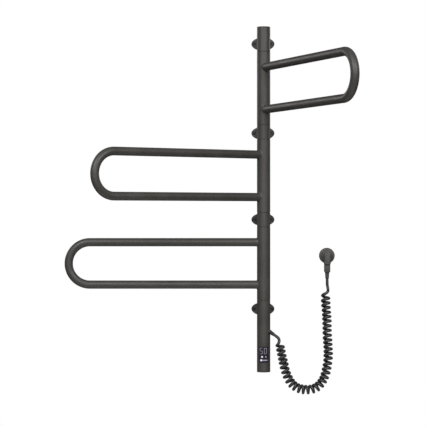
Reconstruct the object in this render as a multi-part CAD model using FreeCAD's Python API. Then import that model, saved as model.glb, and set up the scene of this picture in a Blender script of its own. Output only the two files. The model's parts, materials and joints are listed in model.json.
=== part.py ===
import FreeCAD, Part
import math
import os

# Electric towel warmer with three heated loops that swing on a wall-mounted post.
# Millimetres. X points right along the wall, +Y into the wall, +Z up.
# The wall is the plane Y = 0. The origin is the centre of the lowest wall flange's back face.

# Post
AXIS_Y = -60.0           # the post's axis, in front of the wall
POST_R = 16.0            # outside radius of the post's tubes and sleeves
POST_WALL = 1.5
POST_BORE_R = POST_R - POST_WALL
POST_BOTTOM = -148.5
POST_TOP = 681.5
CORE_R = 12.5            # structural tube that everything on the post is threaded onto
CORE_WALL = 1.5
CORE_BORE_R = CORE_R - CORE_WALL
CORE_BOTTOM = -30.0
CORE_TOP = 668.0
CAP_THICK = 3.0
CAP_SPIGOT = 8.0
CAP_CHAMFER = 0.6
END_ROUND = 0.4          # rounding of the outer edges where the post's tubes meet

# Swinging arms
ARM_PITCH = 210.5
ARM_Z = {"bottom": 112.5, "middle": 112.5 + ARM_PITCH, "top": 112.5 + 2 * ARM_PITCH}
ARM_AZIMUTH = {"bottom": 180.0, "middle": 214.3, "top": 292.85}
ARM_REACH = 479.0        # post axis to the outer edge of a loop
ARM_R = 10.0
ARM_WALL = 1.5
LOOP_R = 51.0            # half the distance between a loop's two tubes, and its end radius
LOOP_CENTRE = ARM_REACH - LOOP_R - ARM_R
SLEEVE_HALF = 88.0
SEAM = 1.0               # visible joint between a sleeve and the fixed post
WASHER_THICK = 0.9
BUSH_BORE_R = CORE_R + 0.05
BUSH_LENGTH = 20.0
BUSH_FROM = 66.0         # distance from an arm's centre to the near end of each bush
CABLE_R = 2.5
CABLE_END_R = 4.6
WINDOW_ANGLE = 215.0     # core opening that the heating cable sweeps through
WINDOW_HEIGHT = 12.0
STOP_R = 1.5
STOP_ABOVE = -69.0       # stop pin's height from the arm's centre
STOP_AZIMUTH = 90.0      # the pin stands on the wall side of the core
ARM_TRAVEL = 180.0
NOTCH_MARGIN = 7.9       # pin's half angle in the notch, with a little clearance

# Wall brackets
BRACKET_Z = [0.0, 217.75, 428.25, 646.0]
BRACKET_NAMES = ["bottom", "lower", "upper", "top"]
FLANGE_HALF_X = 28.0
FLANGE_HALF_Z = 15.7
FLANGE_THICK = 8.0
FLANGE_BEVEL = 1.5
SCREW_SPACING = 43.0
SCREW_HOLE_R = 2.6
COUNTERSINK_R = 4.7
COUNTERSINK_DEEP = 2.1
STANDOFF_R = 9.0
SPIGOT_R = 6.0
SPIGOT_END = -2.0
STUD_R = 3.0
STUD_FROM = 10.9
STUD_TO = 28.0
GRUB_R = 2.0
SPACER_HALF = 12.0

# Control bay in the base tube
WINDOW_Z = -106.0
WINDOW_W = 21.0
WINDOW_H = 39.0
WINDOW_CORNER = 3.0
LENS_GAP = 0.1
LENS_LIP = 1.9
LENS_BACK_R = POST_BORE_R - 1.5
BOARD_FRONT = -6.8       # front face of the control board, from the post's axis
BOARD_W = 20.0
BOARD_THICK = 1.6
BOARD_BOTTOM = -136.0
BOARD_TOP = -70.0
DIGIT_Z = -98.0
KEY_Z = -111.1
SLIDER_Z = -119.3
POWER_FRONT = 4.0        # front face of the power board, from the post's axis
HARNESS_R = 3.5

# Supply cord, its strain relief and plug
CORD_R = 3.5
CURL_R = 11.7            # outside radius of the curled stretch
EXIT_AZIMUTH = -30.0     # from +X, towards the front
EXIT_TILT = 30.0         # below level
EXIT_Z = -51.0
RELIEF_OUT = 13.0
RELIEF_IN = 7.0
PLUG_X = 154.7
PLUG_Y = -33.0
PLUG_PIN_Z = 130.3
PLUG_BASE_R = 18.5
PLUG_BASE_Y = -27.0      # front face of the plug's round base
PLUG_BACK_Y = -21.0      # the face that meets the socket
PLUG_FRONT_Y = -48.0
PLUG_GRIP_HALF = 7.9
PLUG_GRIP_ABOVE = 7.4    # grip's top above the pins
PLUG_GRIP_BOTTOM = 109.0
PLUG_NECK_HALF = 7.2
PLUG_NECK_FRONT_Y = -42.0
PLUG_NECK_BOTTOM = 90.0
PLUG_ROUND = 3.0
BOOT_BOTTOM = 76.0
BOOT_TOP = 93.0
BOOT_RIB_PITCH = 5.0
PIN_R = 2.4
PIN_LENGTH = 19.0
PIN_SPACING = 19.0

Z_AXIS = FreeCAD.Vector(0, 0, 1)
Y_AXIS = FreeCAD.Vector(0, 1, 0)
X_AXIS = FreeCAD.Vector(1, 0, 0)
ORIGIN = FreeCAD.Vector(0, 0, 0)


def vec(x, y, z):
    return FreeCAD.Vector(x, y, z)


def rod(radius, z0, z1):
    """Upright cylinder on the local Z axis."""
    return Part.makeCylinder(radius, z1 - z0, vec(0, 0, z0), Z_AXIS)


def tube(outer, inner, z0, z1):
    return rod(outer, z0, z1).cut(rod(inner, z0 - 1, z1 + 1))


def skin(z0, z1):
    """Length of the post's outside tube with rounded outer end edges."""
    body = tube(POST_R, POST_BORE_R, z0, z1)
    round_edges = [edge for edge in body.Edges if edge.BoundBox.ZLength < 1e-6]
    rims = [edge for edge in round_edges if edge.Length > 1.99 * math.pi * POST_R]
    return body.makeFillet(END_ROUND, rims)


def block(x0, x1, y0, y1, z0, z1):
    return Part.makeBox(x1 - x0, y1 - y0, z1 - z0, vec(x0, y0, z0))


def rounded_block(half_x, y0, y1, z_mid, half_z, corner):
    """Block whose edges along Y are rounded."""
    solid = block(-half_x, half_x, y0, y1, z_mid - half_z, z_mid + half_z)
    edges = []
    for edge in solid.Edges:
        ends = edge.Vertexes[1].Point - edge.Vertexes[0].Point
        if abs(ends.y) > 0.5 * (y1 - y0):
            edges.append(edge)
    return solid.makeFillet(corner, edges)


def radial_rod(radius, r0, r1, azimuth, z):
    """Level cylinder between two distances from the local Z axis."""
    turn = math.radians(azimuth)
    way = vec(math.cos(turn), math.sin(turn), 0)
    return Part.makeCylinder(radius, r1 - r0, way * r0 + vec(0, 0, z), way)


def sector(radius, angle, z0, z1, middle):
    """Solid slice of a cylinder, centred on the azimuth called middle."""
    piece = Part.makeCylinder(radius, z1 - z0, vec(0, 0, z0), Z_AXIS, angle)
    piece.rotate(ORIGIN, Z_AXIS, middle - angle / 2)
    return piece


def on_post(shape, azimuth=0.0, z=0.0):
    """Move a shape from the local frame onto the post's axis."""
    placed = shape.copy()
    placed.rotate(ORIGIN, Z_AXIS, azimuth)
    placed.translate(vec(0, AXIS_Y, z))
    return placed


def group(shapes):
    return Part.makeCompound(shapes)


# ---------------------------------------------------------------- post

def fixed_spans():
    """Lowest and highest point of each fixed length of the post's skin, bottom to top."""
    arms = [ARM_Z[name] for name in ("bottom", "middle", "top")]
    spans = []
    start = POST_BOTTOM + CAP_THICK
    for z in arms:
        spans.append((start, z - SLEEVE_HALF - SEAM / 2))
        start = z + SLEEVE_HALF + SEAM / 2
    spans.append((start, POST_TOP - CAP_THICK))
    return spans


def studs():
    return [radial_rod(STUD_R, STUD_FROM, STUD_TO, 90, z) for z in BRACKET_Z]


def stop_pins():
    pins = []
    for z in ARM_Z.values():
        pins.append(radial_rod(STOP_R, CORE_BORE_R - 0.6, POST_BORE_R - 0.3, STOP_AZIMUTH, z + STOP_ABOVE))
    return pins


def core_tube():
    core = tube(CORE_R, CORE_BORE_R, CORE_BOTTOM, CORE_TOP)
    for z in ARM_Z.values():
        for side in (-LOOP_R, LOOP_R):
            low = z + side - WINDOW_HEIGHT / 2
            core = core.cut(sector(CORE_R + 1, WINDOW_ANGLE, low, low + WINDOW_HEIGHT, 270))
    for piece in studs() + stop_pins():
        core = core.cut(piece)
    return on_post(core)


def skin_tube(span):
    """Fixed length of the post's skin with the holes that its studs and cap screws pass through."""
    body = skin(span[0], span[1])
    for piece in studs() + cap_screw_rods():
        body = body.cut(piece)
    return body


def window_block(grow, y_inner):
    half_x = WINDOW_W / 2 + grow
    half_z = WINDOW_H / 2 + grow
    return rounded_block(half_x, -POST_R - 1, y_inner, WINDOW_Z, half_z, WINDOW_CORNER + grow)


def base_tube():
    body = skin_tube(fixed_spans()[0]).cut(window_block(0, -8))
    return on_post(body.cut(relief_blank()))


def spacer_rings():
    rings = []
    for z in BRACKET_Z:
        ring = tube(POST_BORE_R, CORE_R, z - SPACER_HALF, z + SPACER_HALF)
        for piece in studs():
            ring = ring.cut(piece)
        rings.append(on_post(ring))
    return group(rings)


def thrust_washers():
    rings = []
    for z in ARM_Z.values():
        low = z - SLEEVE_HALF - SEAM / 2
        high = z + SLEEVE_HALF + SEAM / 2
        rings.append(on_post(tube(POST_R - 0.7, CORE_R, low, low + WASHER_THICK)))
        rings.append(on_post(tube(POST_R - 0.7, CORE_R, high - WASHER_THICK, high)))
    return group(rings)


def cap_screw_rods():
    low = POST_BOTTOM + CAP_THICK + 5.0
    high = POST_TOP - CAP_THICK - 4.0
    return [radial_rod(1.5, POST_R - 6, POST_R - 0.2, 90, z) for z in (low, high)]


def cap(outward):
    """End cap around z = 0, its disc's flat side facing outward (+1 up, -1 down)."""
    disc = rod(POST_R, 0, CAP_THICK)
    edges = [e for e in disc.Edges if abs(e.BoundBox.ZMin - CAP_THICK) < 1e-6 and e.Length > 50]
    disc = disc.makeChamfer(CAP_CHAMFER, edges[:1])
    body = disc.fuse(rod(POST_BORE_R - 0.05, -CAP_SPIGOT, 0)).removeSplitter()
    body = body.cut(rod(POST_BORE_R - 2.5, -CAP_SPIGOT - 1, -1.5))
    if outward < 0:
        body.rotate(ORIGIN, X_AXIS, 180)
    return body


def bottom_cap():
    z = POST_BOTTOM + CAP_THICK
    body = cap(-1)
    groove = rod(POST_R, 1.2, 3.2).cut(rod(POST_BORE_R - 1.7, 0, 4))
    body = body.cut(groove)
    body.translate(vec(0, 0, z))
    for piece in cap_screw_rods():
        body = body.cut(piece)
    return on_post(body)


def cap_seal():
    z = POST_BOTTOM + CAP_THICK + 2.2
    return on_post(Part.makeTorus(POST_BORE_R - 0.9, 0.8, vec(0, 0, z), Z_AXIS))


def top_cap():
    body = cap(1)
    body.translate(vec(0, 0, POST_TOP - CAP_THICK))
    for piece in cap_screw_rods():
        body = body.cut(piece)
    return on_post(body)


# ---------------------------------------------------------------- wall brackets

def standoff_blank(z):
    """Turned rod from the post's skin to the wall flange, with its spigot."""
    front = Part.makeCylinder(STANDOFF_R, -FLANGE_THICK - AXIS_Y, vec(0, AXIS_Y, z), Y_AXIS)
    spigot = Part.makeCylinder(SPIGOT_R, SPIGOT_END - AXIS_Y, vec(0, AXIS_Y, z), Y_AXIS)
    return front.fuse(spigot).removeSplitter()


def standoff(z):
    body = standoff_blank(z).cut(on_post(rod(POST_R, z - 30, z + 30)))
    for piece in studs():
        body = body.cut(on_post(piece))
    return body


def ellipse_wire(half_x, half_z, out):
    curve = Part.Ellipse(vec(0, 0, out), half_x, half_z)
    return Part.Wire([curve.toShape()])


def wall_flange(z):
    """Oval plate with a bevelled rim and two countersunk screw holes."""
    straight = FLANGE_THICK - FLANGE_BEVEL
    outline = ellipse_wire(FLANGE_HALF_X, FLANGE_HALF_Z, 0)
    plate = Part.Face(outline).extrude(vec(0, 0, straight))
    rim = ellipse_wire(FLANGE_HALF_X, FLANGE_HALF_Z, straight)
    top = ellipse_wire(FLANGE_HALF_X - FLANGE_BEVEL, FLANGE_HALF_Z - FLANGE_BEVEL, FLANGE_THICK)
    plate = plate.fuse(Part.makeLoft([rim, top], True)).removeSplitter()
    for x in (-SCREW_SPACING / 2, SCREW_SPACING / 2):
        plate = plate.cut(Part.makeCylinder(SCREW_HOLE_R, FLANGE_THICK + 2, vec(x, 0, -1), Z_AXIS))
        start = vec(x, 0, FLANGE_THICK - COUNTERSINK_DEEP)
        plate = plate.cut(Part.makeCone(SCREW_HOLE_R, COUNTERSINK_R, COUNTERSINK_DEEP, start, Z_AXIS))
    plate.rotate(ORIGIN, X_AXIS, 90)
    plate.translate(vec(0, 0, z))
    return plate.cut(standoff_blank(z)).cut(grub_screw(z))


def grub_screw(z):
    """Screw in the underside of a flange that locks the standoff's spigot."""
    y = (SPIGOT_END - FLANGE_THICK) / 2 + 0.8
    low = z - FLANGE_HALF_Z + 1.0
    return Part.makeCylinder(GRUB_R, z - SPIGOT_R - low, vec(0, y, low), Z_AXIS).cut(standoff_blank(z))


# ---------------------------------------------------------------- arms
# In an arm's local frame the loop points along +X and z = 0 is halfway between its tubes.

def sleeve():
    half = SLEEVE_HALF - SEAM / 2
    body = skin(-half, half)
    for side in (-LOOP_R, LOOP_R):
        body = body.cut(radial_rod(ARM_R - ARM_WALL, 5, 20, 0, side))
    return body


def bush(side):
    """Plastic sleeve bearing near one end of a swivel sleeve; the lower one has the stop's notch."""
    low = BUSH_FROM if side > 0 else -BUSH_FROM - BUSH_LENGTH
    body = tube(POST_BORE_R, BUSH_BORE_R, low, low + BUSH_LENGTH)
    if side < 0:
        arc = ARM_TRAVEL + 2 * NOTCH_MARGIN
        floor = STOP_ABOVE - STOP_R - 1.0
        body = body.cut(sector(POST_R, arc, floor, -BUSH_FROM + 1, 180))
    return body


def hairpin(radius, start):
    """Solid bar bent into the loop, from the distance start out along both legs and round the end."""
    length = LOOP_CENTRE - start
    lower = Part.makeCylinder(radius, length, vec(start, 0, -LOOP_R), X_AXIS)
    upper = Part.makeCylinder(radius, length, vec(start, 0, LOOP_R), X_AXIS)
    ring = Part.Face(Part.Wire([Part.makeCircle(radius, vec(LOOP_CENTRE, 0, -LOOP_R), X_AXIS)]))
    bend = ring.revolve(vec(LOOP_CENTRE, 0, 0), vec(0, -1, 0), 180)
    return lower.fuse([bend, upper]).removeSplitter()


def arm_loop():
    return hairpin(ARM_R, 0).cut(hairpin(ARM_R - ARM_WALL, -1)).cut(rod(POST_R, -100, 100))


def heating_cable():
    return hairpin(CABLE_R, CABLE_END_R)


# ---------------------------------------------------------------- inside the post

def control_lens():
    front = tube(POST_R, POST_BORE_R - 0.1, POST_BOTTOM, 0).common(window_block(-LENS_GAP, -8))
    lip = tube(POST_BORE_R - 0.05, LENS_BACK_R, POST_BOTTOM, 0).common(window_block(LENS_LIP, -6))
    return on_post(front.fuse(lip).removeSplitter())


def control_carrier():
    """Tray that holds the control board by its long edges, clear of the lens's lip."""
    back = BOARD_FRONT + BOARD_THICK
    body = block(-12, 12, BOARD_FRONT, back + 2, BOARD_BOTTOM - 1, BOARD_TOP + 1)
    body = body.common(rod(LENS_BACK_R - 0.2, POST_BOTTOM, 0))
    slot = block(-BOARD_W / 2, BOARD_W / 2, BOARD_FRONT - 1, back, BOARD_BOTTOM, BOARD_TOP)
    return on_post(body.cut(slot))


def control_board():
    back = BOARD_FRONT + BOARD_THICK
    return on_post(block(-BOARD_W / 2, BOARD_W / 2, BOARD_FRONT, back, BOARD_BOTTOM, BOARD_TOP))


def digit_display():
    return on_post(block(-8.8, 7.2, BOARD_FRONT - 2.6, BOARD_FRONT, DIGIT_Z - 9.5, DIGIT_Z + 9.5))


def light_guide(radius, x, z, deep):
    return Part.makeCylinder(radius, deep, vec(x, BOARD_FRONT - deep, z), Y_AXIS)


def key_lights():
    """Light guides behind the two touch keys."""
    return group([on_post(light_guide(2.8, -4.2, KEY_Z, 3.9)), on_post(light_guide(2.2, 5.0, KEY_Z, 3.9))])


def slider_light():
    """Bar-shaped light guide behind the touch slider, with its round end."""
    bar = block(-6.3, 8.5, BOARD_FRONT - 2, BOARD_FRONT, SLIDER_Z - 1.25, SLIDER_Z + 1.25)
    return on_post(bar.fuse(light_guide(3.0, -6.3, SLIDER_Z, 2)).removeSplitter())


def power_board():
    body = block(-10, 10, POWER_FRONT, POWER_FRONT + BOARD_THICK, BOARD_BOTTOM, BOARD_TOP + 8)
    return on_post(body)


def relay():
    return on_post(block(-7.5, 7.5, POWER_FRONT - 6.5, POWER_FRONT, -132, -104))


def transformer():
    return on_post(block(-8, 8, POWER_FRONT - 6.5, POWER_FRONT, -100, -84))


def terminal_block():
    return on_post(block(-8, 8, POWER_FRONT - 6.5, POWER_FRONT, -76, -64))


def supply_wires():
    """Short wires from the strain relief's inner end to the terminal block."""
    inner = exit_point() - vec(0, AXIS_Y, 0) - exit_way() * RELIEF_IN
    end = vec(3.0, POWER_FRONT - 3.5, -64)
    bend = end + vec(0, 0, 14)
    lower = Part.makeCylinder(2.2, 14, end, Z_AXIS)
    upper = Part.makeCylinder(2.2, (inner - bend).Length, bend, inner - bend)
    ball = Part.makeSphere(2.2, bend)
    return on_post(lower.fuse([ball, upper]).cut(relief_blank()).removeSplitter())


def wiring_harness():
    """Bundle up the middle of the core that feeds the three heating cables."""
    return on_post(rod(HARNESS_R, -45, ARM_Z["top"] + LOOP_R + 12))


def temperature_sensor():
    body = Part.makeCylinder(1.8, 14, vec(0, CORE_BORE_R - 1.9, ARM_Z["bottom"] - 20), Z_AXIS)
    return on_post(body)


# ---------------------------------------------------------------- cord

def exit_way():
    turn = math.radians(EXIT_AZIMUTH)
    drop = math.radians(EXIT_TILT)
    return vec(math.cos(turn) * math.cos(drop), math.sin(turn) * math.cos(drop), -math.sin(drop))


def exit_point():
    """Point of the exit line on the post's skin."""
    turn = math.radians(EXIT_AZIMUTH)
    return vec(POST_R * math.cos(turn), AXIS_Y + POST_R * math.sin(turn), EXIT_Z)


def relief_blank():
    """Tapered strain relief in the post's local frame, before it is cut to fit the wall."""
    way = exit_way()
    surface = exit_point() - vec(0, AXIS_Y, 0)
    neck = Part.makeCylinder(4.0, RELIEF_IN + 4, surface - way * RELIEF_IN, way)
    cone = Part.makeCone(5.0, 3.9, RELIEF_OUT + 4, surface - way * 4, way)
    return neck.fuse(cone.cut(rod(POST_R, -90, -20))).removeSplitter()


def relief_collar():
    """Snap collar that grips the strain relief inside the wall."""
    way = exit_way()
    surface = exit_point() - vec(0, AXIS_Y, 0)
    ring = Part.makeCylinder(6.0, 5.5, surface - way * 6.5, way)
    ring = ring.common(rod(POST_BORE_R, -90, -20))
    return on_post(ring.cut(relief_blank()))


CORD_ROUTE = [
    exit_point() + exit_way() * RELIEF_OUT,
    vec(37.86, -81.86, -67.0),
    vec(39.5, -83.0, -85.9),
    vec(46.3, -85.8, -118.3),
    vec(50.9, -86.5, -144.4),
    vec(61.9, -85.6, -168.5),
    vec(78.6, -83.6, -185.1),
    vec(103.4, -81.2, -190.7),
    vec(126.8, -78.6, -184.0),
    vec(143.7, -75.0, -163.2),
    vec(150.6, -71.4, -138.0),
    vec(155.2, -66.0, -110.1),
    vec(154.1, -60.0, -81.9),
    vec(152.5, -53.6, -54.5),
    vec(152.9, -47.0, -27.1),
    vec(151.8, -40.6, 0.5),
    vec(150.4, -35.2, 28.1),
    vec(152.6, -33.2, 46.0),
    vec(156.6, -33.1, 56.0),
    vec(PLUG_X, PLUG_Y, 66.0),
    vec(PLUG_X, PLUG_Y, BOOT_BOTTOM),
]
CURL_FIRST = 1           # the curled stretch begins on the run after this point
CURL_LAST = 16           # and ends on the run after this one


def corner(before, point, after):
    """The two tangent points and the middle of the arc that rounds one corner, and its radius."""
    arrive = (point - before).normalize()
    leave = (after - point).normalize()
    turn = arrive.getAngle(leave)
    setback = 0.45 * min((point - before).Length, (after - point).Length)
    radius = setback / math.tan(turn / 2)
    inward = (leave - arrive).normalize()
    middle = point + inward * (radius / math.cos(turn / 2) - radius)
    return point - arrive * setback, middle, point + leave * setback, radius


def route_pieces():
    """The route's rounded corners, and where each straight run starts and ends between them."""
    corners = [corner(*CORD_ROUTE[i - 1:i + 2]) for i in range(1, len(CORD_ROUTE) - 1)]
    print("cord arc radii, mm:", [round(c[3], 1) for c in corners])
    starts = [CORD_ROUTE[0]] + [c[2] for c in corners]
    ends = [c[0] for c in corners] + [CORD_ROUTE[-1]]
    return corners, starts, ends


def span_edges(corners, starts, ends, first, last, cut_start, cut_end):
    """Edges from the middle of one run, or its start, to the middle of another, or its end."""
    edges = []
    for run in range(first, last + 1):
        a, b = starts[run], ends[run]
        half = (a + b) * 0.5
        a = half if run == first and cut_start else a
        b = half if run == last and cut_end else b
        edges.append(Part.LineSegment(a, b).toShape())
        if run < last:
            arc = corners[run]
            edges.append(Part.Arc(arc[0], arc[1], arc[2]).toShape())
    return edges


def swept(name, edges, radius):
    """Round bar along the edges; prints its volume against section times length."""
    path = Part.Wire(edges)
    start = edges[0].Vertexes[0].Point
    way = (edges[0].Vertexes[1].Point - start).normalize()
    ring = Part.Wire([Part.makeCircle(radius, start, way)])
    bar = path.makePipeShell([ring], True, True)
    expected = math.pi * radius ** 2 * path.Length
    print(f"{name}: length {path.Length:.1f} mm, volume ratio {bar.Volume / expected:.4f}")
    return bar


def cord_solids():
    corners, starts, ends = route_pieces()
    last_run = len(starts) - 1
    lower = span_edges(corners, starts, ends, 0, CURL_FIRST, False, True)
    curl = span_edges(corners, starts, ends, CURL_FIRST, CURL_LAST, True, True)
    upper = span_edges(corners, starts, ends, CURL_LAST, last_run, True, False)
    return {
        "cord_lead_lower": swept("cord_lead_lower", lower, CORD_R),
        "cord_curl": swept("cord_curl", curl, CURL_R),
        "cord_lead_upper": swept("cord_lead_upper", upper, CORD_R),
    }


# ---------------------------------------------------------------- plug

def plug_boot():
    """Ribbed, tapered sleeve between the plug's neck and the cord."""
    body = Part.makeCone(4.3, 5.3, BOOT_TOP - BOOT_BOTTOM, vec(PLUG_X, PLUG_Y, BOOT_BOTTOM), Z_AXIS)
    for rib in range(3):
        low = BOOT_BOTTOM + 1 + rib * BOOT_RIB_PITCH
        body = body.fuse(Part.makeCone(4.7, 5.5, 3.0, vec(PLUG_X, PLUG_Y, low), Z_AXIS))
    return body.removeSplitter().cut(plug_body())


def plug_body():
    """Right-angle plug: round base against the socket, flat grip and a neck down to the boot."""
    base_thick = PLUG_BACK_Y - PLUG_BASE_Y
    base = Part.makeCylinder(PLUG_BASE_R, base_thick, vec(PLUG_X, PLUG_BASE_Y, PLUG_PIN_Z), Y_AXIS)
    left, right = PLUG_X - PLUG_GRIP_HALF, PLUG_X + PLUG_GRIP_HALF
    grip_top = PLUG_PIN_Z + PLUG_GRIP_ABOVE
    grip = block(left, right, PLUG_FRONT_Y, PLUG_BASE_Y + 1, PLUG_GRIP_BOTTOM, grip_top)
    front = [edge for edge in grip.Edges if edge.BoundBox.YMax < PLUG_FRONT_Y + 0.01]
    grip = grip.makeFillet(PLUG_ROUND, front)
    left, right = PLUG_X - PLUG_NECK_HALF, PLUG_X + PLUG_NECK_HALF
    neck = block(left, right, PLUG_NECK_FRONT_Y, PLUG_BASE_Y + 1, PLUG_NECK_BOTTOM, PLUG_GRIP_BOTTOM + 2)
    upright = [edge for edge in neck.Edges if edge.BoundBox.ZLength > PLUG_ROUND * 2]
    neck = neck.makeFillet(PLUG_ROUND, upright)
    return base.fuse([grip, neck]).removeSplitter()


def plug_pins():
    """Two round contact pins with domed tips."""
    pins = []
    for side in (-0.5, 0.5):
        x = PLUG_X + side * PIN_SPACING
        tip_y = PLUG_BACK_Y + PIN_LENGTH - PIN_R
        shank = Part.makeCylinder(PIN_R, tip_y - PLUG_BACK_Y, vec(x, PLUG_BACK_Y, PLUG_PIN_Z), Y_AXIS)
        pins.append(shank.fuse(Part.makeSphere(PIN_R, vec(x, tip_y, PLUG_PIN_Z))).removeSplitter())
    return group(pins)


def plug_earth_clips():
    """Spring contact strips on the base's rim, above and below the pins."""
    strips = []
    for side in (1, -1):
        low, high = sorted((PLUG_BASE_R * side, (PLUG_BASE_R + 0.6) * side))
        strip = block(-2, 2, PLUG_BASE_Y + 1, PLUG_BACK_Y + 0.2, low, high)
        strips.append(strip.translated(vec(PLUG_X, 0, PLUG_PIN_Z)))
    return group(strips)


# ---------------------------------------------------------------- all nodes

def arm_nodes():
    nodes = {}
    for name, z in ARM_Z.items():
        turn = ARM_AZIMUTH[name]
        nodes[f"swivel_sleeve_{name}"] = on_post(sleeve(), turn, z)
        nodes[f"arm_loop_{name}"] = on_post(arm_loop(), turn, z)
        nodes[f"bush_upper_{name}"] = on_post(bush(1), turn, z)
        nodes[f"bush_lower_{name}"] = on_post(bush(-1), turn, z)
        nodes[f"heating_cable_{name}"] = on_post(heating_cable(), turn, z)
    return nodes


def bracket_nodes():
    nodes = {}
    for name, z in zip(BRACKET_NAMES, BRACKET_Z):
        nodes[f"wall_flange_{name}"] = wall_flange(z)
        nodes[f"standoff_{name}"] = standoff(z)
    nodes["standoff_studs"] = group([on_post(piece) for piece in studs()])
    nodes["flange_grub_screws"] = group([grub_screw(z) for z in BRACKET_Z])
    return nodes


def post_nodes():
    spans = fixed_spans()
    return {
        "core_tube": core_tube(),
        "base_tube": base_tube(),
        "post_collar_lower": on_post(skin_tube(spans[1])),
        "post_collar_upper": on_post(skin_tube(spans[2])),
        "post_top_tube": on_post(skin_tube(spans[3])),
        "spacer_rings": spacer_rings(),
        "thrust_washers": thrust_washers(),
        "stop_pins": group([on_post(piece) for piece in stop_pins()]),
        "bottom_cap": bottom_cap(),
        "top_cap": top_cap(),
        "cap_seal": cap_seal(),
        "cap_screws": group([on_post(piece) for piece in cap_screw_rods()]),
    }


def inner_nodes():
    return {
        "control_lens": control_lens(),
        "control_carrier": control_carrier(),
        "control_board": control_board(),
        "digit_display": digit_display(),
        "key_lights": key_lights(),
        "slider_light": slider_light(),
        "power_board": power_board(),
        "relay": relay(),
        "transformer": transformer(),
        "terminal_block": terminal_block(),
        "supply_wires": supply_wires(),
        "wiring_harness": wiring_harness(),
        "temperature_sensor": temperature_sensor(),
        "strain_relief": on_post(relief_blank()),
        "relief_collar": relief_collar(),
    }


def plug_nodes():
    return {
        "plug_boot": plug_boot(),
        "plug_body": plug_body(),
        "plug_pins": plug_pins(),
        "plug_earth_clips": plug_earth_clips(),
    }


def main():
    os.makedirs("parts", exist_ok=True)
    nodes = {**post_nodes(), **bracket_nodes(), **arm_nodes()}
    nodes |= {**inner_nodes(), **cord_solids(), **plug_nodes()}
    for name, shape in nodes.items():
        if not shape.isValid():
            print("invalid:", name)
        shape.exportStep(f"parts/{name}.step")
    print(len(nodes), "nodes")


main()
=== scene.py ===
import json
import math

import bmesh
import bpy
from mathutils import Matrix, Vector


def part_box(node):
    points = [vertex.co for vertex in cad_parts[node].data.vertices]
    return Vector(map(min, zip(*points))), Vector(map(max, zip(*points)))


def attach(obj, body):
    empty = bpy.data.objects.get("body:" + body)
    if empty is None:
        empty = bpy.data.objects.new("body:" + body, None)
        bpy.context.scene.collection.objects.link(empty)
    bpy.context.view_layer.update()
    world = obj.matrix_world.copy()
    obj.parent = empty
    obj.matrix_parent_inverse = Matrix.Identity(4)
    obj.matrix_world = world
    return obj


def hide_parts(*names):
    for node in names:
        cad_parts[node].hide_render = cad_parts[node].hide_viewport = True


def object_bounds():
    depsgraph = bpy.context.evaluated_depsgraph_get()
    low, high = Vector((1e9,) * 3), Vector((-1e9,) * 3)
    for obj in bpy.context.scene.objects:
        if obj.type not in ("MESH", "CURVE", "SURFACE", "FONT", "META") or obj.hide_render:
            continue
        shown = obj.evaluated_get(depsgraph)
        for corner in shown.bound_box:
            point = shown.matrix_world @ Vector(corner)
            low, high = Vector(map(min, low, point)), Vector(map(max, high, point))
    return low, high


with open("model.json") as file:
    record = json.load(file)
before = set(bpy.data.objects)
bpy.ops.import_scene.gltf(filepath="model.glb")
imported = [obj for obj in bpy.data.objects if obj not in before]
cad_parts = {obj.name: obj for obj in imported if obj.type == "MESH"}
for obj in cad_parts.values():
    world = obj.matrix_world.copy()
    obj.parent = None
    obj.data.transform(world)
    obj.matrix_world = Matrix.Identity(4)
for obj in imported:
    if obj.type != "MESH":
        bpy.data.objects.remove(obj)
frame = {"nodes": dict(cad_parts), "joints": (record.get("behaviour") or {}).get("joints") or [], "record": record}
cad_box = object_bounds()

# Sizes in metres. The post's axis and the arms' places come from the joints.
JOINTS = {joint["child"]: joint for joint in frame["joints"]}
AXIS_Y = JOINTS["arm_bottom"]["pos_m"][1]
POST_R = 0.016
ARM_R = 0.010
LOOP_R = 0.051
WELD = 0.0022            # leg of the weld fillet between a loop and its sleeve
WELD_FOOT = 0.0004       # how far the fillet's hidden foot goes into the sleeve's wall
LEG_STEPS = 12           # rings along a straight leg of a loop
BEND_STEPS = 48          # rings round its bend
WELD_STEPS = 6           # rings over a fillet
TUBE_SIDES = 56

# Camera and lights. A light is its name, its place, the point it faces, its diameter and its power in watts.
CAMERA_PLACE = (-0.1218, -3.970, 0.2338)
CAMERA_LENS = 137.32     # focal length in mm
SENSOR_WIDTH = 36.0      # also in mm
VIEW_END = 100.0
RACK_MIDDLE = (0, -0.1, 0.25)
LIGHTS = [
    ("key_light", (-1.7, -3.4, 2.5), RACK_MIDDLE, 2.2, 95),
    ("fill_light", (2.0, -3.2, 2.2), RACK_MIDDLE, 2.2, 70),
    ("front_light", (0.25, -4.6, 0.7), (0, 0, 0.2), 1.2, 20),
    ("back_light_right", (2.6, 2.4, 1.3), RACK_MIDDLE, 1.6, 15),
    ("back_light_left", (-2.8, 2.4, 1.3), RACK_MIDDLE, 1.6, 15),
]
BRIGHT_SIDE = (-0.1, -0.75, 0.65)              # where the room's own light is brightest
ROOM_LIGHT = [(0.2, (0.03, 0.03, 0.03)), (0.5, (0.07, 0.07, 0.07)), (1.0, (0.30, 0.30, 0.30))]
FLOOR_DROP = 1.0         # from the lowest point of the rack
FLOOR_R = 1.4
FLOOR_SIDES = 96
NOISE_LOW = 0.3          # nearly all of a noise texture's values lie between these two
NOISE_HIGH = 0.7

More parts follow.
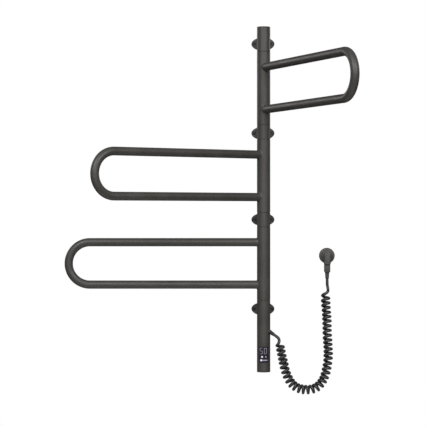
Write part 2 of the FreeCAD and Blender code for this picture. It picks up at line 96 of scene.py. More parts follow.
# Screws in the wall flanges. Rings of a screw: depth below the flange's face, radius, and 1 for a cross.
SCREW_SPREAD = 0.0215
SCREW_SIDES = 32
SCREW_PROFILE = [
    (0.0030, 0.0004, 1), (0.0022, 0.0011, 1), (0.00045, 0.0021, 1), (0.00035, 0.0032, 0),
    (0.0006, 0.0044, 0), (0.0009, 0.0045, 0), (0.0031, 0.0024, 0), (0.0078, 0.0022, 0),
]
CROSS_PINCH = 0.55       # how far the sides of the cross are drawn in, as a share of the radius

# Lit symbols on the cover of the controls: sideways places from the post's axis, heights, and radii of dots
SYMBOL_DEPTH = 0.00006   # how far a lit strip stands out of the cover, and goes into it
STROKE_HALF = 0.0006
STROKE_STEP = 0.0006     # between samples along a stroke
CORNER_STEPS = 6
DIGIT_LOW = -0.1037
DIGIT_HIGH = -0.0902
DIGIT_W = 0.0055
FIVE_X = -0.0061
FIVE_BEND = 0.0014
ZERO_X = 0.0039
ZERO_BEND = 0.0020
KEY_Z = -0.1111
SLIDER_Z = -0.1193
BRIGHT_DOTS = [(-0.0042, KEY_Z, 0.0022), (-0.0063, SLIDER_Z, 0.0023)]
DIM_DOT = (0.0050, KEY_Z, 0.0018)
SLIDER_BAR = [(-0.0040, SLIDER_Z), (0.0085, SLIDER_Z)]
SLIDER_HALF = 0.00125
DOT_STEPS = 24
DOT_TIP_HALF = 0.00003   # half width of a dot at its two ends

# Plug and its boot
PLUG_X = 0.1547
PLUG_Y = -0.0330
PLUG_PIN_Z = 0.1303
BOOT_BOTTOM = 0.0760
BOOT_TOP = 0.0920
BOOT_RINGS = 3
BOOT_RIM = 0.0006        # height of the plain rim under the lowest ring
BOOT_PITCH = 0.0050
BOOT_RING_R = 0.0048     # of the lowest ring
BOOT_WIDENING = 0.00035  # by which each further ring is larger
BOOT_GROOVE = 0.0009
BASE_DEPTH = 0.0060      # thickness of the plug's round base
BASE_RIM = [(0.0, 0.0172), (0.0003, 0.0180), (0.0010, 0.0187), (0.0018, 0.0190), (0.0050, 0.0190),
            (0.0058, 0.0185), (0.0060, 0.0177)]
BASE_HUB = [(-0.0038, 0.0104), (-0.0036, 0.0116), (-0.0028, 0.0126), (-0.0010, 0.0136), (0.0006, 0.0142)]
GRIP_HALF = 0.0079
GRIP_BOTTOM = 0.1090
GRIP_RISE = 0.0074       # from the pins' axis to the top of the grip
GRIP_ROUND = 0.0028      # radius of its edges
NECK_HALF = 0.0072
NECK_FRONT = -0.0420
NECK_TOP = 0.1120
NECK_ROUND = 0.0026
GRIP_RIBS = 5
RIB_BOTTOM = 0.1135
RIB_PITCH = 0.0034
RIB_HEIGHT = 0.0017
RIB_HALF = 0.0007
RIB_X = 0.0077
RIB_INSET = 0.004        # between a rib's ends and the grip's front or the base

# Supply cord and its strain relief
CORD_R = 0.0035
EXIT_TURN = math.radians(-30)                  # the cord leaves to the right, this far to the front
EXIT_TILT = math.radians(30)                   # and this far down
RELIEF_BACK = 0.013      # from the cord's first point back to the surface of the post
RELIEF_FOOT = [(-0.0070, 0.0036), (-0.0070, 0.0040), (-0.0030, 0.0040), (-0.0030, 0.0050), (0.0026, 0.0050),
               (0.0032, 0.0047)]
RELIEF_TIP = [(0.0134, 0.0039), (0.0138, 0.0036)]
RELIEF_RINGS = 4
RELIEF_FIRST = 0.0042    # where the first ring begins
RELIEF_PITCH = 0.0021
RELIEF_RING_R = 0.0047   # of the first ring
RELIEF_TAPER = 0.00016   # by which each further ring is smaller
RELIEF_GROOVE = 0.0005
CURL_MEAN_R = 0.0083
CURL_TURNS = 36.187
CURL_STEPS = 16          # points of the helix for each turn
CURL_SKIP = 8            # points at the start that the lead takes the place of
CURL_DROP = 4            # and points at the end
CURL_PHASE = math.radians(130)
CURL_EARLY = 0.13        # part of a turn by which the turns halfway along sit nearer to the start
CURL_START_SHARE = 0.93  # radius at the start, as a share of the mean
CURL_WIDENING = 60       # turns in which it would grow by the whole mean radius
PITCH_WAVES = [(0.06, 0.9), (0.03, 2.3)]       # uneven spacing: (part of a turn, radians for each turn)
RADIUS_WAVE = (0.02, 1.7)                      # uneven radius: (share, radians for each turn)
LOOP_NORMAL = Vector((-0.384, 0.923, 0.0))     # square to the hanging loop, towards the wall
CORD_ROUTE = [
    (0.02361, -0.07363, -0.05750),
    (0.03680, -0.08160, -0.06700),
    (0.03860, -0.08300, -0.08600),
    (0.04560, -0.08680, -0.11900),
    (0.05120, -0.08780, -0.14540),
    (0.06180, -0.08680, -0.16970),
    (0.07850, -0.08460, -0.18540),
    (0.10320, -0.08180, -0.19020),
    (0.12750, -0.07700, -0.18550),
    (0.14470, -0.07200, -0.16480),
    (0.15180, -0.06740, -0.13920),
    (0.15590, -0.06220, -0.11110),
    (0.15500, -0.05660, -0.08250),
    (0.15340, -0.05080, -0.05550),
    (0.15370, -0.04500, -0.02750),
    (0.15210, -0.03960, 0.00020),
    (0.15040, -0.03520, 0.02800),
    (0.15260, -0.03320, 0.04600),
    (0.15660, -0.03310, 0.05600),
    (PLUG_X, PLUG_Y, 0.06600),
    (PLUG_X, PLUG_Y, BOOT_BOTTOM),
]
CURL_FIRST = 1           # the curled stretch begins halfway along the run after this point
CURL_LAST = 16           # and ends halfway along the run after this one
# The lead bends over and falls, drawing back to the left, into the side of the first turn.
LOWER_LEAD = [
    (0.0236, -0.0736, -0.0575),
    (0.0306, -0.0777, -0.0621),
    (0.0352, -0.0808, -0.0658),
    (0.0368, -0.0834, -0.0708),
    (0.0360, -0.0856, -0.0752),
    (0.0344, -0.0868, -0.0788),
    (0.0324, -0.0860, -0.0814),
    (0.0312, -0.0836, -0.0830),
]
# The last turn ends at its left side; the lead rises across its front and up into the boot.
UPPER_LEAD = [
    (0.1454, -0.0394, 0.0366),
    (0.1492, -0.0414, 0.0386),
    (0.1536, -0.0410, 0.0410),
    (0.1566, -0.0380, 0.0446),
    (0.1568, -0.0346, 0.0492),
    (0.1557, -0.0331, 0.0555),
    (PLUG_X, PLUG_Y, 0.0620),
    (PLUG_X, PLUG_Y, BOOT_BOTTOM),
]


# ---------------------------------------------------------------- camera, light, floor

def add_camera():
    """Level camera in front of the rack, a little to the left of the post."""
    data = bpy.data.cameras.new("camera")
    data.lens = CAMERA_LENS
    data.sensor_width = SENSOR_WIDTH
    data.clip_end = VIEW_END
    camera = bpy.data.objects.new("camera", data)
    camera.location = CAMERA_PLACE
    camera.rotation_euler = (math.radians(90), 0, 0)
    bpy.context.scene.collection.objects.link(camera)
    bpy.context.scene.camera = camera


def add_area_light(name, place, target, size, power):
    """Round soft light, turned towards its target."""
    data = bpy.data.lights.new(name, "AREA")
    data.shape = "DISK"
    data.size = size
    data.energy = power
    light = bpy.data.objects.new(name, data)
    light.location = place
    way = Vector(target) - Vector(place)
    light.rotation_euler = way.to_track_quat("-Z", "Y").to_euler()
    bpy.context.scene.collection.objects.link(light)


def add_world():
    """White behind the object for the camera; dim light for everything else, dimmest from the wall side."""
    world = bpy.data.worlds.new("studio")
    world.use_nodes = True
    tree = world.node_tree
    tree.nodes.clear()
    place = tree.nodes.new("ShaderNodeTexCoord")
    toward = tree.nodes.new("ShaderNodeVectorMath")
    toward.operation = "DOT_PRODUCT"
    toward.inputs[1].default_value = Vector(BRIGHT_SIDE).normalized()
    spread = tree.nodes.new("ShaderNodeMapRange")
    spread.inputs["From Min"].default_value = -1.0
    spread.inputs["From Max"].default_value = 1.0
    dim = tree.nodes.new("ShaderNodeBackground")
    white = tree.nodes.new("ShaderNodeBackground")
    rays = tree.nodes.new("ShaderNodeLightPath")
    mix = tree.nodes.new("ShaderNodeMixShader")
    out = tree.nodes.new("ShaderNodeOutputWorld")
    white.inputs["Color"].default_value = (1, 1, 1, 1)
    tree.links.new(place.outputs["Generated"], toward.inputs[0])
    tree.links.new(toward.outputs["Value"], spread.inputs["Value"])
    colour_from(tree, dim, spread.outputs[0], ROOM_LIGHT, "Color")
    tree.links.new(rays.outputs["Is Camera Ray"], mix.inputs["Fac"])
    tree.links.new(dim.outputs[0], mix.inputs[1])
    tree.links.new(white.outputs[0], mix.inputs[2])
    tree.links.new(mix.outputs[0], out.inputs[0])
    bpy.context.scene.world = world


def add_floor():
    """Pale floor below the rack, too low for the level camera to see."""
    bm = bmesh.new()
    bmesh.ops.create_circle(bm, cap_ends=True, segments=FLOOR_SIDES, radius=FLOOR_R)
    floor = bm_object("floor", bm, floor_material())
    floor.location = (RACK_MIDDLE[0], RACK_MIDDLE[1], cad_box[0][2] - FLOOR_DROP)


# ---------------------------------------------------------------- materials

def set_ramp(node, stops):
    """Colour stops of a ramp, as (position, colour) pairs."""
    elements = node.color_ramp.elements
    while len(elements) > 1:
        elements.remove(elements[-1])
    for index, (position, colour) in enumerate(stops):
        stop = elements[0] if index == 0 else elements.new(position)
        stop.position = position
        stop.color = (*colour, 1)


def new_material(name):
    """Material with its node tree, its Principled shader and its object coordinates."""
    mat = bpy.data.materials.new(name)
    mat.use_nodes = True
    tree = mat.node_tree
    shader = tree.nodes["Principled BSDF"]
    coords = tree.nodes.new("ShaderNodeTexCoord")
    return mat, tree, shader, coords.outputs["Object"]


def noise(tree, where, scale, detail=2.0, stretch=None):
    """Noise texture; its scale is in cells for each metre."""
    if stretch:
        mapping = tree.nodes.new("ShaderNodeMapping")
        mapping.inputs["Scale"].default_value = stretch
        tree.links.new(where, mapping.inputs["Vector"])
        where = mapping.outputs["Vector"]
    node = tree.nodes.new("ShaderNodeTexNoise")
    node.inputs["Scale"].default_value = scale
    node.inputs["Detail"].default_value = detail
    tree.links.new(where, node.inputs["Vector"])
    return node.outputs["Fac"]


def colour_from(tree, shader, value, stops, socket="Base Color"):
    """Colour a shader from a 0 to 1 value, through a colour ramp."""
    ramp = tree.nodes.new("ShaderNodeValToRGB")
    set_ramp(ramp, stops)
    tree.links.new(value, ramp.inputs["Fac"])
    tree.links.new(ramp.outputs["Color"], shader.inputs[socket])


def range_from(tree, socket, value, low, high):
    """Set a 0 to 1 socket from a noise value, between low and high."""
    node = tree.nodes.new("ShaderNodeMapRange")
    node.inputs["From Min"].default_value = NOISE_LOW
    node.inputs["From Max"].default_value = NOISE_HIGH
    node.inputs["To Min"].default_value = low
    node.inputs["To Max"].default_value = high
    tree.links.new(value, node.inputs["Value"])
    tree.links.new(node.outputs[0], socket)


def bump_from(tree, shader, value, height, strength):
    """Bump of a height in metres from a noise value."""
    node = tree.nodes.new("ShaderNodeBump")
    node.inputs["Distance"].default_value = height
    node.inputs["Strength"].default_value = strength
    tree.links.new(value, node.inputs["Height"])
    tree.links.new(node.outputs["Normal"], shader.inputs["Normal"])


def tint(colour, factor):
    """The same colour, darker or lighter."""
    return tuple(min(1.0, channel * factor) for channel in colour)


def powder_coat():
    """Fine-textured anthracite powder coat: grain, slight orange peel, cloudy tone."""
    mat, tree, shader, where = new_material("powder_coat")
    grain = noise(tree, where, 2600, 3)
    cloud = noise(tree, where, 24, 3)
    peel = noise(tree, where, 700, 1)
    mix = tree.nodes.new("ShaderNodeMix")
    mix.inputs["Factor"].default_value = 0.35
    tree.links.new(grain, mix.inputs["A"])
    tree.links.new(cloud, mix.inputs["B"])
    colour_from(tree, shader, mix.outputs[0], [
        (0.25, (0.040, 0.037, 0.033)), (0.5, (0.056, 0.053, 0.048)), (0.8, (0.082, 0.078, 0.072))])
    range_from(tree, shader.inputs["Roughness"], cloud, 0.36, 0.48)
    height = tree.nodes.new("ShaderNodeMath")
    height.operation = "MULTIPLY_ADD"
    height.inputs[1].default_value = 0.5
    tree.links.new(peel, height.inputs[0])
    tree.links.new(grain, height.inputs[2])
    bump_from(tree, shader, height.outputs[0], 0.00012, 0.55)
    return mat


def moulded(name, colour, rough, grain_scale=1800, vary=0.25):
    """Moulded plastic or rubber with a fine grain and a slightly uneven tone."""
    mat, tree, shader, where = new_material(name)
    grain = noise(tree, where, grain_scale, 3)
    cloud = noise(tree, where, 60, 2)
    colour_from(tree, shader, cloud, [(0.3, tint(colour, 1 - vary)), (0.7, tint(colour, 1 + vary))])
    range_from(tree, shader.inputs["Roughness"], grain, rough - 0.05, rough + 0.06)
    bump_from(tree, shader, grain, 0.00006, 0.6)
    return mat


def metal(name, colour, rough, stretch=(1, 1, 1), vary=0.12):
    """Bare or plated metal with fine tool marks, which a stretch draws out along one direction."""
    mat, tree, shader, where = new_material(name)
    marks = noise(tree, where, 1500, 2, stretch)
    colour_from(tree, shader, marks, [(0.3, tint(colour, 1 - vary)), (0.7, tint(colour, 1 + vary))])
    range_from(tree, shader.inputs["Roughness"], marks, rough - 0.06, rough + 0.08)
    bump_from(tree, shader, marks, 0.00002, 0.4)
    shader.inputs["Metallic"].default_value = 1.0
    return mat


def cord_jacket():
    """Satin black jacket of the curly cord, with the faint bloom that such cords have."""
    mat, tree, shader, where = new_material("cord_jacket")
    cloud = noise(tree, where, 180, 2)
    grain = noise(tree, where, 3500, 2)
    colour_from(tree, shader, cloud, [(0.3, (0.028, 0.028, 0.028)), (0.7, (0.040, 0.040, 0.039))])
    range_from(tree, shader.inputs["Roughness"], cloud, 0.30, 0.42)
    bump_from(tree, shader, grain, 0.00004, 0.5)
    return mat


def display_gloss():
    """Glossy smoked cover over the display, nearly black with a hint of violet."""
    mat, tree, shader, where = new_material("display_gloss")
    smear = noise(tree, where, 130, 4)
    colour_from(tree, shader, smear, [(0.3, (0.018, 0.015, 0.024)), (0.7, (0.026, 0.022, 0.034))])
    range_from(tree, shader.inputs["Roughness"], smear, 0.05, 0.16)
    return mat


def lit(name, colour, strength):
    """Lit symbol: even light with slightly softer patches."""
    mat, tree, shader, where = new_material(name)
    patch = noise(tree, where, 500, 2)
    stops = [(0.25, tint(colour, 0.86)), (0.75, tint(colour, 1.08))]
    colour_from(tree, shader, patch, stops, "Emission Color")
    shader.inputs["Base Color"].default_value = (0.02, 0.02, 0.024, 1)
    shader.inputs["Emission Strength"].default_value = strength
    shader.inputs["Roughness"].default_value = 0.3
    return mat


def circuit_board():
    """Green solder mask with darker tracks."""
    mat, tree, shader, where = new_material("circuit_board")
    brick = tree.nodes.new("ShaderNodeTexBrick")
    brick.inputs["Scale"].default_value = 260
    brick.inputs["Mortar Size"].default_value = 0.03
    brick.inputs["Color1"].default_value = (0.012, 0.085, 0.035, 1)
    brick.inputs["Color2"].default_value = (0.016, 0.110, 0.045, 1)
    brick.inputs["Mortar"].default_value = (0.030, 0.180, 0.080, 1)
    tree.links.new(where, brick.inputs["Vector"])
    tree.links.new(brick.outputs["Color"], shader.inputs["Base Color"])
    range_from(tree, shader.inputs["Roughness"], noise(tree, where, 400), 0.25, 0.4)
    return mat


def floor_material():
    """Pale matt floor with a very faint mottle."""
    mat, tree, shader, where = new_material("floor_pale")
    mottle = noise(tree, where, 6, 3)
    colour_from(tree, shader, mottle, [(0.3, (0.74, 0.74, 0.73)), (0.7, (0.78, 0.78, 0.77))])
    shader.inputs["Roughness"].default_value = 0.7
    return mat


def all_materials():
    """Every finish by its name, which is also the name of its material slot."""
    return {
        "powder_coat": powder_coat(),
        "structural_tube": metal("structural_tube", (0.42, 0.42, 0.41), 0.38, (1, 1, 0.05)),
        "nylon": moulded("nylon", (0.72, 0.69, 0.60), 0.45, vary=0.06),
        "washer_plastic": moulded("washer_plastic", (0.014, 0.014, 0.014), 0.5),
        "turned_aluminium": metal("turned_aluminium", (0.62, 0.62, 0.63), 0.3, (0.05, 0.05, 1)),
        "zinc_steel": metal("zinc_steel", (0.55, 0.56, 0.57), 0.32),
        "black_steel": moulded("black_steel", (0.02, 0.02, 0.021), 0.38),
        "black_rubber": moulded("black_rubber", (0.016, 0.016, 0.016), 0.52),
        "silicone_cable": moulded("silicone_cable", (0.22, 0.035, 0.022), 0.5),
        "wire_insulation": moulded("wire_insulation", (0.05, 0.09, 0.22), 0.45),
        "display_gloss": display_gloss(),
        "inner_plastic": moulded("inner_plastic", (0.045, 0.045, 0.045), 0.55),
        "circuit_board": circuit_board(),
        "digit_module": moulded("digit_module", (0.03, 0.03, 0.035), 0.2),
        "light_guide": moulded("light_guide", (0.7, 0.7, 0.75), 0.2, vary=0.08),
        "component_plastic": moulded("component_plastic", (0.03, 0.07, 0.20), 0.45),
        "sensor_metal": metal("sensor_metal", (0.58, 0.57, 0.55), 0.35),
        "cord_jacket": cord_jacket(),
        "plug_rubber": moulded("plug_rubber", (0.050, 0.049, 0.047), 0.5),
        "plug_grey": moulded("plug_grey", (0.066, 0.0645, 0.0615), 0.46, grain_scale=2400, vary=0.12),
        "pin_plating": metal("pin_plating", (0.70, 0.69, 0.66), 0.16, (1, 0.1, 1)),
        "contact_brass": metal("contact_brass", (0.70, 0.52, 0.22), 0.28),
        "lit_digits": lit("lit_digits", (0.24, 0.22, 0.28), 1.0),
        "lit_bright": lit("lit_bright", (0.82, 0.82, 0.90), 1.0),
        "lit_dim": lit("lit_dim", (0.36, 0.34, 0.42), 1.0),
    }


# ---------------------------------------------------------------- mesh tools

def bm_object(name, bm, mat, smooth_angle=None):
    """Object from a bmesh, its normals made consistent; shaded smooth below the angle in degrees."""
    bmesh.ops.recalc_face_normals(bm, faces=bm.faces)
    mesh = bpy.data.meshes.new(name)
    bm.to_mesh(mesh)
    bm.free()
    mesh.materials.append(mat)
    if smooth_angle:
        shade(mesh, smooth_angle)
    piece = bpy.data.objects.new(name, mesh)
    bpy.context.scene.collection.objects.link(piece)
    return piece


def shade(mesh, angle):
    """Smooth shading, with edges kept sharp from an angle in degrees."""
    mesh.polygons.foreach_set("use_smooth", [True] * len(mesh.polygons))
    mesh.set_sharp_from_angle(angle=math.radians(angle))


def place(piece, body, slot, *replaced):
    """Fix a finished piece to its body, and hide the CAD nodes that it stands for. The slot is not used."""
    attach(piece, body)
    if replaced:
        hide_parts(*replaced)


def skin_rings(bm, rings, closed_ends=True):
    """Faces between rings of vertices that all have the same count."""
    made = [[bm.verts.new(point) for point in ring] for ring in rings]
    count = len(made[0])
    for low, high in zip(made, made[1:]):
        for i in range(count):
            j = (i + 1) % count
            bm.faces.new((low[i], low[j], high[j], high[i]))
    if closed_ends:
        bm.faces.new(made[0])
        bm.faces.new(made[-1])


def lathe(bm, profile, start, way, sides):
    """Solid of revolution: profile is (distance along, radius) pairs from the start point."""
    way = Vector(way).normalized()
    side = way.orthogonal().normalized()
    other = way.cross(side)
    rings = []
    for along, radius in profile:
        middle = Vector(start) + way * along
        angles = [2 * math.pi * i / sides for i in range(sides)]
        rings.append([middle + (side * math.cos(a) + other * math.sin(a)) * radius for a in angles])
    skin_rings(bm, rings)


def rounded_box(bm, low, high, radius, steps=4):
    """Box with all its edges rounded."""
    made = bmesh.ops.create_cube(bm, size=1.0)
    size = Vector(high) - Vector(low)
    middle = (Vector(high) + Vector(low)) / 2
    for vert in made["verts"]:
        vert.co = Vector([middle[k] + vert.co[k] * size[k] for k in range(3)])
    edges = list({edge for vert in made["verts"] for edge in vert.link_edges})
    bmesh.ops.bevel(bm, geom=edges, offset=radius, segments=steps, profile=0.5, affect="EDGES")


# ---------------------------------------------------------------- cord

def spline_object(name, points, bevel, resolution):
    """Open NURBS curve of order 3 through its end points."""
    data = bpy.data.curves.new(name, "CURVE")
    data.dimensions = "3D"
    data.bevel_depth = bevel
    data.bevel_resolution = 6
    data.use_fill_caps = True
    spline = data.splines.new("NURBS")
    spline.points.add(len(points) - 1)
    for target, point in zip(spline.points, points):
        target.co = (*point, 1)
    spline.order_u = 3
    spline.use_endpoint_u = True
    spline.resolution_u = resolution
    piece = bpy.data.objects.new(name, data)
    bpy.context.scene.collection.objects.link(piece)
    return piece


def route_line():
    """Points down the middle of the whole route, read from its spline."""
    holder = spline_object("cord_route", CORD_ROUTE, bevel=0, resolution=40)
    mesh = bpy.data.meshes.new_from_object(holder)
    line = [vert.co.copy() for vert in mesh.vertices]
    data = holder.data
    bpy.data.meshes.remove(mesh)
    bpy.data.objects.remove(holder)
    bpy.data.curves.remove(data)
    return line


def nearest_index(line, point):
    """Index of the point of a line that is closest to a point."""
    return min(range(len(line)), key=lambda i: (line[i] - point).length)


def run_middle(index):
    """Halfway between a point of the route and the next one."""
    return (Vector(CORD_ROUTE[index]) + Vector(CORD_ROUTE[index + 1])) / 2


def point_at(line, lengths, wanted):
    """Point and direction at a distance along a line."""
    i = next(k for k in range(1, len(line)) if lengths[k] >= wanted or k == len(line) - 1)
    step = lengths[i] - lengths[i - 1]
    share = (wanted - lengths[i - 1]) / step
    return line[i - 1].lerp(line[i], share), (line[i] - line[i - 1]).normalized()


def curl_points():
    """The helix round the middle stretch of the route, a little narrower in its first turns."""
    line = route_line()
    first = nearest_index(line, run_middle(CURL_FIRST))
    last = nearest_index(line, run_middle(CURL_LAST))
    line = line[first:last + 1]
    lengths = [0.0]
    for a, b in zip(line, line[1:]):
        lengths.append(lengths[-1] + (b - a).length)
    points = []
    for step in range(CURL_SKIP, int(CURL_TURNS * CURL_STEPS) + 1 - CURL_DROP):
        turn = step / CURL_STEPS
        spread = turn - CURL_EARLY * math.sin(math.pi * turn / CURL_TURNS)
        spread += sum(size * math.sin(turn * rate) for size, rate in PITCH_WAVES)
        middle, way = point_at(line, lengths, lengths[-1] * spread / CURL_TURNS)
        radius = CURL_MEAN_R * min(1.0, CURL_START_SHARE + turn / CURL_WIDENING)
        radius *= 1 + RADIUS_WAVE[0] * math.sin(turn * RADIUS_WAVE[1])
        across = (LOOP_NORMAL - way * LOOP_NORMAL.dot(way)).normalized()
        angle = CURL_PHASE + turn * 2 * math.pi
        points.append(middle + (across * math.cos(angle) + way.cross(across) * math.sin(angle)) * radius)
    return points


def exit_way():
    """Direction in which the cord leaves the post."""
    flat = math.cos(EXIT_TILT)
    return Vector((math.cos(EXIT_TURN) * flat, math.sin(EXIT_TURN) * flat, -math.sin(EXIT_TILT)))


def add_cord(finish):
    """The whole cord as one spline, its strain relief, its plug and the plug's boot."""
    points = LOWER_LEAD + curl_points() + UPPER_LEAD
    cord = spline_object("supply_cord", points, bevel=CORD_R, resolution=4)
    cord.data.materials.append(finish["cord_jacket"])
    relief = add_strain_relief(finish)
    boot = add_plug_boot(finish)
    plug = add_plug_body(finish)
    place(cord, "post", "cord_jacket", "cord_lead_lower", "cord_curl", "cord_lead_upper")


def add_strain_relief(finish):
    """Tapered rubber sleeve at the cord's exit, with a collar on the post and ring grooves."""
    start = Vector(CORD_ROUTE[0]) - exit_way() * RELIEF_BACK
    profile = list(RELIEF_FOOT)
    for ring in range(RELIEF_RINGS):
        at = RELIEF_FIRST + ring * RELIEF_PITCH
        radius = RELIEF_RING_R - ring * RELIEF_TAPER
        groove = radius - RELIEF_GROOVE
        profile += [(at, radius), (at + 0.0004, groove), (at + 0.0009, groove), (at + 0.0013, radius)]
    profile += RELIEF_TIP
    bm = bmesh.new()
    lathe(bm, profile, start, exit_way(), sides=48)
    relief = bm_object("cord_strain_relief", bm, finish["black_rubber"], smooth_angle=40)
    place(relief, "post", "black_rubber", "strain_relief")
    return relief


def add_plug_boot(finish):
    """Ribbed boot under the plug: three swelling rings that get narrower towards the cord."""
    start = Vector((PLUG_X, PLUG_Y, BOOT_BOTTOM))
    profile = [(-BOOT_RIM, 0.0036), (-BOOT_RIM, 0.0040), (BOOT_RIM, 0.0043)]
    for ring in range(BOOT_RINGS):
        low = BOOT_RIM + ring * BOOT_PITCH
        size = BOOT_RING_R + ring * BOOT_WIDENING
        for share in (0.08, 0.2, 0.35, 0.5, 0.65, 0.8, 0.92):
            profile.append((low + 0.0041 * share, size - 0.0006 * (2 * share - 1) ** 4))
        groove = size - BOOT_GROOVE
        profile += [(low + 0.0043, groove), (low + 0.0048, groove)]
    profile.append((BOOT_TOP - BOOT_BOTTOM, 0.0052))
    bm = bmesh.new()
    lathe(bm, profile, start, (0, 0, 1), sides=48)
    boot = bm_object("plug_ribbed_boot", bm, finish["plug_rubber"], smooth_angle=50)
    place(boot, "post", "plug_rubber", "plug_boot")
    return boot


def add_plug_body(finish):
    """Right-angle plug: round base, rounded grip with finger ribs, and a neck down to the boot."""
    low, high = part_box("plug_body")
    base_front = high[1] - BASE_DEPTH
    hub = (PLUG_X, base_front, PLUG_PIN_Z)
    back = base_front + 0.001            # grip and neck end a little inside the base
    bm = bmesh.new()
    for profile in (BASE_RIM, BASE_HUB):
        lathe(bm, profile, hub, (0, 1, 0), sides=96)
    grip_low = (PLUG_X - GRIP_HALF, low[1], GRIP_BOTTOM)
    grip_high = (PLUG_X + GRIP_HALF, back, PLUG_PIN_Z + GRIP_RISE)
    rounded_box(bm, grip_low, grip_high, GRIP_ROUND)
    neck_low = (PLUG_X - NECK_HALF, NECK_FRONT, low[2])
    neck_high = (PLUG_X + NECK_HALF, back, NECK_TOP)
    rounded_box(bm, neck_low, neck_high, NECK_ROUND)
    for rib in range(GRIP_RIBS):
        at = RIB_BOTTOM + rib * RIB_PITCH
        for side in (-1, 1):
            x = PLUG_X + side * RIB_X
            rib_low = (x - RIB_HALF, low[1] + RIB_INSET, at)
            rib_high = (x + RIB_HALF, base_front - RIB_INSET, at + RIB_HEIGHT)
            rounded_box(bm, rib_low, rib_high, radius=0.0005, steps=2)
    plug = bm_object("plug_moulding", bm, finish["plug_grey"], smooth_angle=40)
    place(plug, "post", "plug_grey", "plug_body")
    return plug


# ---------------------------------------------------------------- wall screws

def add_wall_screws(finish):
    """Countersunk screws with a cross recess in the holes of the wall flanges."""
    for number, flange in enumerate(("bottom", "lower", "upper", "top")):
        low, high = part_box("wall_flange_" + flange)
        middle = (low + high) / 2
        bm = bmesh.new()
        for side in (-1, 1):
            face = Vector((middle.x + side * SCREW_SPREAD, low.y, middle.z))
            screw_head(bm, face, math.radians(20 + 37 * number + 52 * side))       # each at its own angle
        screws = bm_object("wall_screws_" + flange, bm, finish["black_steel"], smooth_angle=35)
        place(screws, "post", "black_steel")


def screw_head(bm, face, turn):
    """One screw: a cross-shaped hollow in a slightly domed head, its cone and its shank to the wall."""
    rings = []
    for deep, radius, cross in SCREW_PROFILE:
        ring = []
        for i in range(SCREW_SIDES):
            a = 2 * math.pi * i / SCREW_SIDES
            size = radius * (1 - CROSS_PINCH * cross * (0.5 - 0.5 * math.cos(4 * a)))
            spot = a + turn
            ring.append(face + Vector((size * math.cos(spot), deep, size * math.sin(spot))))
        rings.append(ring)
    skin_rings(bm, rings)


# ---------------------------------------------------------------- arms

def loop_path():
    """Points and directions of a loop in its own frame: out along its top, round, back along its bottom."""
    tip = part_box("arm_loop_bottom")[0][0]
    centre = -tip - LOOP_R - ARM_R
    out, back = Vector((1, 0, 0)), Vector((-1, 0, 0))
    path = [(Vector((centre * k / LEG_STEPS, 0, LOOP_R)), out) for k in range(1, LEG_STEPS)]
    for k in range(BEND_STEPS + 1):
        turn = math.pi / 2 - math.pi * k / BEND_STEPS
        across = Vector((math.cos(turn), 0, math.sin(turn)))
        way = Vector((math.sin(turn), 0, -math.cos(turn)))
        path.append((Vector((centre, 0, 0)) + across * LOOP_R, way))
    return path + [(Vector((centre * k / LEG_STEPS, 0, -LOOP_R)), back) for k in range(LEG_STEPS - 1, 0, -1)]


def saddle_ring(side, angles, radius, out):
    """Ring of points at a height over the sleeve, that follows the sleeve's round side."""
    ring = []
    for a in angles:
        y = radius * math.sin(a)
        z = side * (LOOP_R + radius * math.cos(a))
        ring.append(Vector((math.sqrt(POST_R ** 2 - y ** 2) + out, y, z)))
    return ring


def weld_rings(side, angles):
    """Rings between one leg and its sleeve: a hidden foot just inside the wall, then the fillet."""
    foot_r = ARM_R + WELD
    rings = [saddle_ring(side, angles, foot_r * share, -WELD_FOOT) for share in (0.03, 0.35, 0.7, 1.0)]
    for k in range(WELD_STEPS + 1):
        swing = math.pi / 2 * k / WELD_STEPS
        radius = ARM_R + WELD * (1 - math.sin(swing))
        rings.append(saddle_ring(side, angles, radius, WELD * (1 - math.cos(swing))))
    return rings


def add_arm(name, finish):
    """Bent tube of one loop with its two weld fillets, turned to its rest angle."""
    angles = [2 * math.pi * i / TUBE_SIDES for i in range(TUBE_SIDES)]
    across = Vector((0, 1, 0))
    rings = weld_rings(1, angles)
    for middle, way in loop_path():
        outward = Vector((-way.z, 0, way.x))
        rings.append([middle + (outward * math.cos(a) + across * math.sin(a)) * ARM_R for a in angles])
    rings += reversed(weld_rings(-1, angles))
    bm = bmesh.new()
    skin_rings(bm, rings)
    joint = JOINTS["arm_" + name]
    turn = Matrix.Rotation(math.radians(180 - joint["range_deg"][0]), 4, "Z")
    bmesh.ops.transform(bm, matrix=Matrix.Translation(joint["pos_m"]) @ turn, verts=bm.verts)
    arm = bm_object("bent_tube_" + name, bm, finish["powder_coat"], smooth_angle=50)
    place(arm, "arm_" + name, "powder_coat", "arm_loop_" + name)


# ---------------------------------------------------------------- display

def on_lens(x, z, out):
    """Point over the curved cover, which has the post's radius, from its sideways place and its height."""
    radius = POST_R + out
    side = x * radius / POST_R
    return Vector((side, AXIS_Y - math.sqrt(radius ** 2 - side ** 2), z))


def add_strip(bm, samples, closed=False):
    """Thin lit strip bent over the cover; samples are (x, z, normal x, normal z, half width)."""
    rings = []
    for x, z, nx, nz, half in samples:
        one, other = (x - nx * half, z - nz * half), (x + nx * half, z + nz * half)
        rings.append([on_lens(*one, -SYMBOL_DEPTH), on_lens(*one, SYMBOL_DEPTH),
                      on_lens(*other, SYMBOL_DEPTH), on_lens(*other, -SYMBOL_DEPTH)])
    if closed:
        rings.append(rings[0])
    skin_rings(bm, rings, closed_ends=not closed)


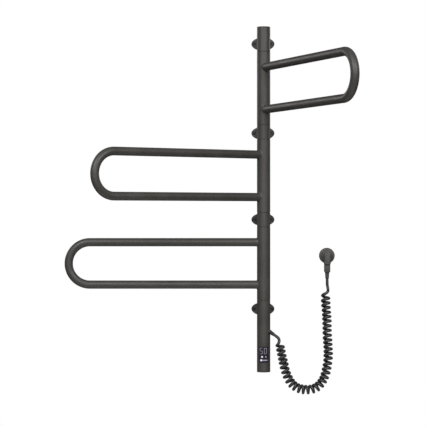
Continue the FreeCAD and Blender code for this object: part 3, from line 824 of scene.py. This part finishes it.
def stroke_samples(corners, bend, half, closed=False):
    """Samples along straight strokes with rounded corners."""
    points = []
    count = len(corners)
    for i, corner in enumerate(corners):
        here = Vector(corner)
        if not closed and i in (0, count - 1):
            points.append(here)
            continue
        before = (Vector(corners[i - 1]) - here).normalized()
        after = (Vector(corners[(i + 1) % count]) - here).normalized()
        for k in range(CORNER_STEPS + 1):
            share = k / CORNER_STEPS
            points.append(here + before * bend * (1 - share) ** 2 + after * bend * share ** 2)
    if closed:
        points.append(points[0])
    dense = []
    for a, b in zip(points, points[1:]):
        parts = max(1, round((b - a).length / STROKE_STEP))
        dense += [a.lerp(b, k / parts) for k in range(parts)]
    if not closed:
        dense.append(points[-1])
    samples = []
    for i, point in enumerate(dense):
        after = dense[(i + 1) % len(dense)] if closed or i < len(dense) - 1 else point
        before = dense[i - 1] if closed or i > 0 else point
        way = (after - before).normalized()
        samples.append((point.x, point.y, -way.y, way.x, half))
    return samples


def add_dot(bm, x, z, radius):
    """Round lit spot, as a strip whose width follows a circle."""
    samples = []
    for k in range(DOT_STEPS + 1):
        turn = math.pi * k / DOT_STEPS
        half = max(radius * math.sin(turn), DOT_TIP_HALF)
        samples.append((x - radius * math.cos(turn), z, 0, 1, half))
    add_strip(bm, samples)


def add_symbols(finish):
    """Temperature in two digits, the two touch keys and the slider, as thin lit strips on the cover."""
    bm = bmesh.new()
    left, right = FIVE_X - DIGIT_W / 2, FIVE_X + DIGIT_W / 2
    middle = (DIGIT_LOW + DIGIT_HIGH) / 2
    five = [(right, DIGIT_HIGH), (left, DIGIT_HIGH), (left, middle), (right, middle), (right, DIGIT_LOW),
            (left, DIGIT_LOW)]
    add_strip(bm, stroke_samples(five, FIVE_BEND, STROKE_HALF))
    left, right = ZERO_X - DIGIT_W / 2, ZERO_X + DIGIT_W / 2
    zero = [(left, DIGIT_HIGH), (right, DIGIT_HIGH), (right, DIGIT_LOW), (left, DIGIT_LOW)]
    add_strip(bm, stroke_samples(zero, ZERO_BEND, STROKE_HALF, closed=True), closed=True)
    digits = bm_object("display_digits", bm, finish["lit_digits"])
    place(digits, "post", "light_guide")

    bm = bmesh.new()
    for dot in BRIGHT_DOTS:
        add_dot(bm, *dot)
    bright = bm_object("key_light_bright", bm, finish["lit_bright"])
    place(bright, "post", "light_guide")

    bm = bmesh.new()
    add_dot(bm, *DIM_DOT)
    add_strip(bm, stroke_samples(SLIDER_BAR, 0, SLIDER_HALF))
    dim = bm_object("slider_light_dim", bm, finish["lit_dim"])
    place(dim, "post", "light_guide")


# ---------------------------------------------------------------- carried-over parts

def dress_nodes(finish):
    """Every CAD node gets the finish of its material slot, and smooth shading over its curved faces."""
    for part in frame["record"]["subparts"]:
        mesh = frame["nodes"][part["node"]].data
        mesh.materials.clear()
        mesh.materials.append(finish[part["material_slot"]])
        if "custom_normal" in mesh.attributes:
            mesh.attributes.remove(mesh.attributes["custom_normal"])
        shade(mesh, angle=28)


# ---------------------------------------------------------------- making

bpy.context.scene.view_settings.view_transform = "Standard"
add_camera()
finish = all_materials()
add_cord(finish)
add_world()
for light in LIGHTS:
    add_area_light(*light)
add_floor()
for arm in ("bottom", "middle", "top"):
    add_arm(arm, finish)
add_symbols(finish)
add_wall_screws(finish)
dress_nodes(finish)
